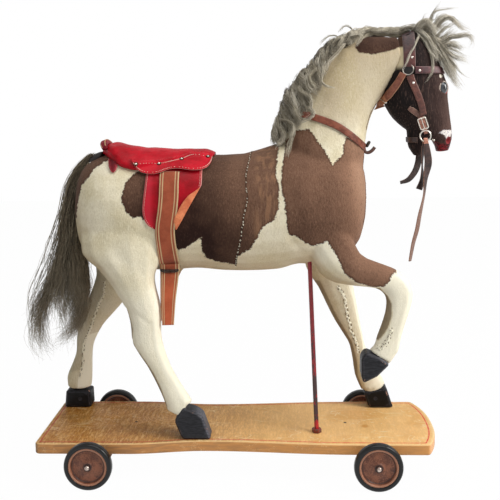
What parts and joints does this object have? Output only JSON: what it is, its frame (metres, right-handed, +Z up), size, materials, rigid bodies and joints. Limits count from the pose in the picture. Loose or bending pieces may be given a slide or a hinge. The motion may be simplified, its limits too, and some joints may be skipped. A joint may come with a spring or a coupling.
{
  "type": "toy horse on wheels",
  "caption": "Hide-covered toy horse with a saddle and bridle, standing on a waisted wooden deck with disc wheels.",
  "frame": {"origin": "on the floor under the middle of the whole object's box", "axes": "+X the way the horse faces, -Y its near side, +Z up"},
  "size_m": [0.737, 0.2464, 0.7454],
  "materials": {
    "deck": "worn varnish with a red line along the edge",
    "block": "plain wood",
    "steel": "dull worn steel",
    "disc": "red-brown paint worn to metal",
    "tyre": "aged black rubber",
    "rod": "worn red paint",
    "hide": "short cream hair with brown patches",
    "dark_hide": "short dark brown hair",
    "hoof": "chipped black paint",
    "eye": "polished dark glass",
    "hair": "loose grey-green hair",
    "tail_hair": "loose dark grey-brown hair",
    "saddle": "red leathercloth, slightly glossy",
    "webbing": "woven band with pale lines",
    "strap": "worn brown leather"
  },
  "bodies": {
    "stand": {"deck": "deck", "rear_axle_block": "block", "front_axle_block": "block", "rear_axle": "steel", "front_axle": "steel", "near_rear_cap": "steel", "near_front_cap": "steel", "far_rear_cap": "steel", "far_front_cap": "steel", "support_rod": "rod", "rod_nut": "rod", "torso": "hide", "neck": "hide", "head": "dark_hide", "lower_jaw": "dark_hide", "near_hind_leg": "hide", "far_hind_leg": "hide", "near_fore_leg": "hide", "far_fore_leg": "hide", "near_hind_hoof": "hoof", "far_hind_hoof": "hoof", "near_fore_hoof": "hoof", "far_fore_hoof": "hoof", "near_eye": "eye", "far_eye": "eye", "mane": "hair", "forelock": "hair", "tail": "tail_hair", "saddle_seat": "saddle", "near_skirt": "saddle", "far_skirt": "saddle", "near_flap": "saddle", "far_flap": "saddle", "girth": "webbing", "girth_end": "webbing", "girth_loop": "steel", "collar_strap": "strap", "crown_strap": "strap", "brow_band": "strap", "near_cheek_strap": "strap", "far_cheek_strap": "strap", "throat_latch": "strap", "chin_strap": "strap", "near_temple_ring": "steel", "far_temple_ring": "steel", "near_bit_ring": "steel", "far_bit_ring": "steel", "bit_bar": "steel", "near_cheek_buckle": "steel", "far_cheek_buckle": "steel", "near_rein": "strap", "far_rein": "strap"},
    "near_rear_wheel": {"near_rear_disc": "disc", "near_rear_tyre": "tyre"},
    "near_front_wheel": {"near_front_disc": "disc", "near_front_tyre": "tyre"},
    "far_rear_wheel": {"far_rear_disc": "disc", "far_rear_tyre": "tyre"},
    "far_front_wheel": {"far_front_disc": "disc", "far_front_tyre": "tyre"}
  },
  "joints": [
    {"name": "near_rear_spin", "type": "hinge", "parent": "stand", "child": "near_rear_wheel", "pos_m": [-0.238, -0.113, 0.038], "axis": [0, 1, 0], "continuous": true},
    {"name": "near_front_spin", "type": "hinge", "parent": "stand", "child": "near_front_wheel", "pos_m": [0.215, -0.113, 0.038], "axis": [0, 1, 0], "continuous": true},
    {"name": "far_rear_spin", "type": "hinge", "parent": "stand", "child": "far_rear_wheel", "pos_m": [-0.238, 0.113, 0.038], "axis": [0, 1, 0], "continuous": true},
    {"name": "far_front_spin", "type": "hinge", "parent": "stand", "child": "far_front_wheel", "pos_m": [0.215, 0.113, 0.038], "axis": [0, 1, 0], "continuous": true}
  ]
}
